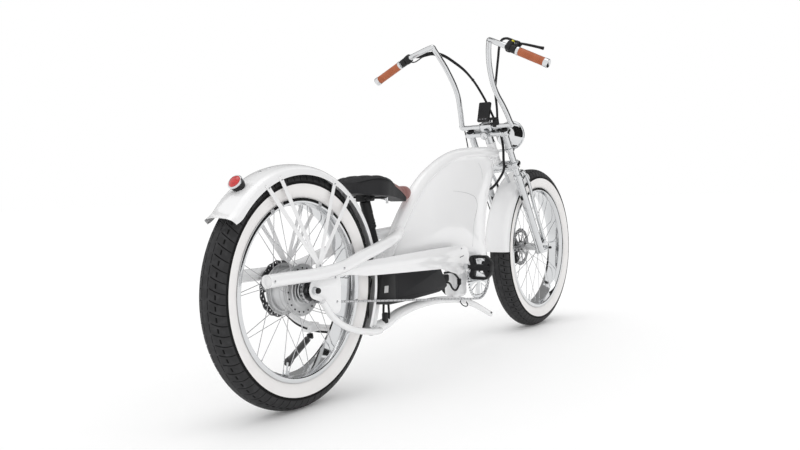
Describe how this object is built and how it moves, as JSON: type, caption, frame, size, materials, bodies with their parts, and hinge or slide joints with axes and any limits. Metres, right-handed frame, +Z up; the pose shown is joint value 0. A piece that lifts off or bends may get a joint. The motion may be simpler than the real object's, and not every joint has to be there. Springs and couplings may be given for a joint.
{
  "type": "electric stretch cruiser bicycle",
  "caption": "Long, low electric cruiser with an arched body, tall bars, twin-tube fork, whitewall tyres, hub motor, chain drive and sprung saddle.",
  "frame": {"origin": "where the rear tyre's tread meets the ground, in the bicycle's mid-plane", "axes": "+X forward, from the rear wheel to the front wheel; +Y to the rider's left; +Z up"},
  "size_m": [2.4832, 0.8096, 1.2713],
  "materials": {
    "white_paint": "gloss",
    "white_panel": "gloss",
    "chrome": "polished",
    "polished_alloy": "polished",
    "steel": "satin",
    "alloy": "satin",
    "black_metal": "satin",
    "black_plastic": "satin",
    "charcoal_case": "matte",
    "tyre_rubber": "matte",
    "cable_rubber": "matte",
    "brown_leather": "satin",
    "saddle_cover": "satin",
    "red_lens": "gloss",
    "yellow_plastic": "gloss",
    "clear_lens": "clear"
  },
  "bodies": {
    "frame": {"main_frame": "white_paint", "lower_frame": "white_paint", "upper_stay_right": "white_paint", "upper_stay_left": "white_paint", "chainstay_right": "white_paint", "chainstay_left": "white_paint", "body_panel_right": "white_panel", "body_panel_left": "white_panel", "chain_guard": "white_paint", "battery_case": "charcoal_case", "rear_fender": "white_paint", "fender_strut_right": "white_paint", "fender_strut_left": "white_paint", "tail_light_base": "black_plastic", "tail_light_lens": "red_lens", "rear_axle": "steel", "rear_caliper": "black_metal", "chain": "steel", "seat_post": "black_metal"},
    "saddle": {"post_sleeve": "black_metal", "saddle_base": "black_plastic", "saddle_cover": "saddle_cover"},
    "kickstand": {"kickstand_leg": "black_metal"},
    "rear_wheel": {"rear_tyre": "tyre_rubber", "rear_rim": "polished_alloy", "rear_spokes_right": "steel", "rear_spokes_left": "steel", "motor_hub": "alloy", "rear_rotor": "steel"},
    "freewheel": {"freewheel": "black_metal"},
    "crank": {"chainring": "polished_alloy", "crank_right": "polished_alloy", "crank_left": "polished_alloy"},
    "pedal_right": {"pedal_right": "black_plastic"},
    "pedal_left": {"pedal_left": "black_plastic"},
    "steering": {"fork_upper": "chrome", "upper_crown": "polished_alloy", "handlebar": "polished_alloy", "grip_right": "brown_leather", "grip_left": "brown_leather", "lever_clamp_right": "black_plastic", "lever_clamp_left": "black_plastic", "headlight_shell": "chrome", "headlight_lens": "clear_lens", "display": "black_plastic", "cable_loom": "cable_rubber", "front_brake_cable": "cable_rubber"},
    "brake_lever_right": {"brake_lever_right": "black_metal"},
    "brake_lever_left": {"brake_lever_left": "black_metal"},
    "power_button": {"power_button": "yellow_plastic"},
    "fork_lowers": {"fork_lowers": "polished_alloy", "front_fender": "white_paint", "front_axle": "steel", "front_caliper": "black_metal"},
    "front_wheel": {"front_tyre": "tyre_rubber", "front_rim": "polished_alloy", "front_spokes_right": "steel", "front_spokes_left": "steel", "front_hub": "polished_alloy", "front_rotor": "steel"}
  },
  "joints": [
    {"name": "steering_turn", "type": "hinge", "parent": "frame", "child": "steering", "pos_m": [1.331, 0, 0.865], "axis": [-0.5373, 0, 0.8434], "range_deg": [-35, 35], "deforming": ["cable_loom"]},
    {"name": "fork_slide", "type": "slide", "parent": "steering", "child": "fork_lowers", "axis": [-0.5373, 0, 0.8434], "range_m": [0, 0.025], "stiffness_N_per_m": 12000, "springref_m": -0.03, "deforming": ["front_brake_cable"]},
    {"name": "front_wheel_spin", "type": "hinge", "parent": "fork_lowers", "child": "front_wheel", "pos_m": [1.733, 0, 0.373], "axis": [0, 1, 0], "continuous": true},
    {"name": "rear_wheel_spin", "type": "hinge", "parent": "frame", "child": "rear_wheel", "pos_m": [0, 0, 0.373], "axis": [0, 1, 0], "continuous": true},
    {"name": "crank_spin", "type": "hinge", "parent": "frame", "child": "crank", "pos_m": [1.08, 0, 0.3], "axis": [0, 1, 0], "continuous": true},
    {"name": "freewheel_spin", "type": "hinge", "parent": "frame", "child": "freewheel", "pos_m": [0, 0, 0.373], "axis": [0, 1, 0], "continuous": true},
    {"name": "pedal_right_spin", "type": "hinge", "parent": "crank", "child": "pedal_right", "pos_m": [0.92025, -0.101, 0.35814], "axis": [0, 1, 0], "continuous": true},
    {"name": "pedal_left_spin", "type": "hinge", "parent": "crank", "child": "pedal_left", "pos_m": [1.23975, 0.101, 0.24186], "axis": [0, 1, 0], "continuous": true},
    {"name": "saddle_slide", "type": "slide", "parent": "frame", "child": "saddle", "axis": [0.3502, 0, -0.9367], "range_m": [0, 0.01], "stiffness_N_per_m": 60000, "springref_m": -0.002},
    {"name": "kickstand_fold", "type": "hinge", "parent": "frame", "child": "kickstand", "pos_m": [0.19, 0.1, 0.187], "axis": [0.3168, 0.4126, 0.854], "range_deg": [0, 103]},
    {"name": "brake_lever_right_pull", "type": "hinge", "parent": "steering", "child": "brake_lever_right", "pos_m": [1.06774, -0.27129, 1.23241], "axis": [0.8586, 0.2333, -0.4565], "range_deg": [0, 15], "stiffness_Nm_per_rad": 2, "springref_deg": -22.92},
    {"name": "brake_lever_left_pull", "type": "hinge", "parent": "steering", "child": "brake_lever_left", "pos_m": [1.07976, 0.26558, 1.221], "axis": [-0.4596, 0.3938, 0.796], "range_deg": [0, 15], "stiffness_Nm_per_rad": 2, "springref_deg": -22.92},
    {"name": "power_button_press", "type": "slide", "parent": "steering", "child": "power_button", "axis": [-0.5125, 0.3711, -0.7743], "range_m": [0, 0.002], "stiffness_N_per_m": 800, "springref_m": -0.001}
  ],
  "couplings": [
    {"joint": "freewheel_spin", "follows": "crank_spin", "ratio": 2.4444}
  ]
}
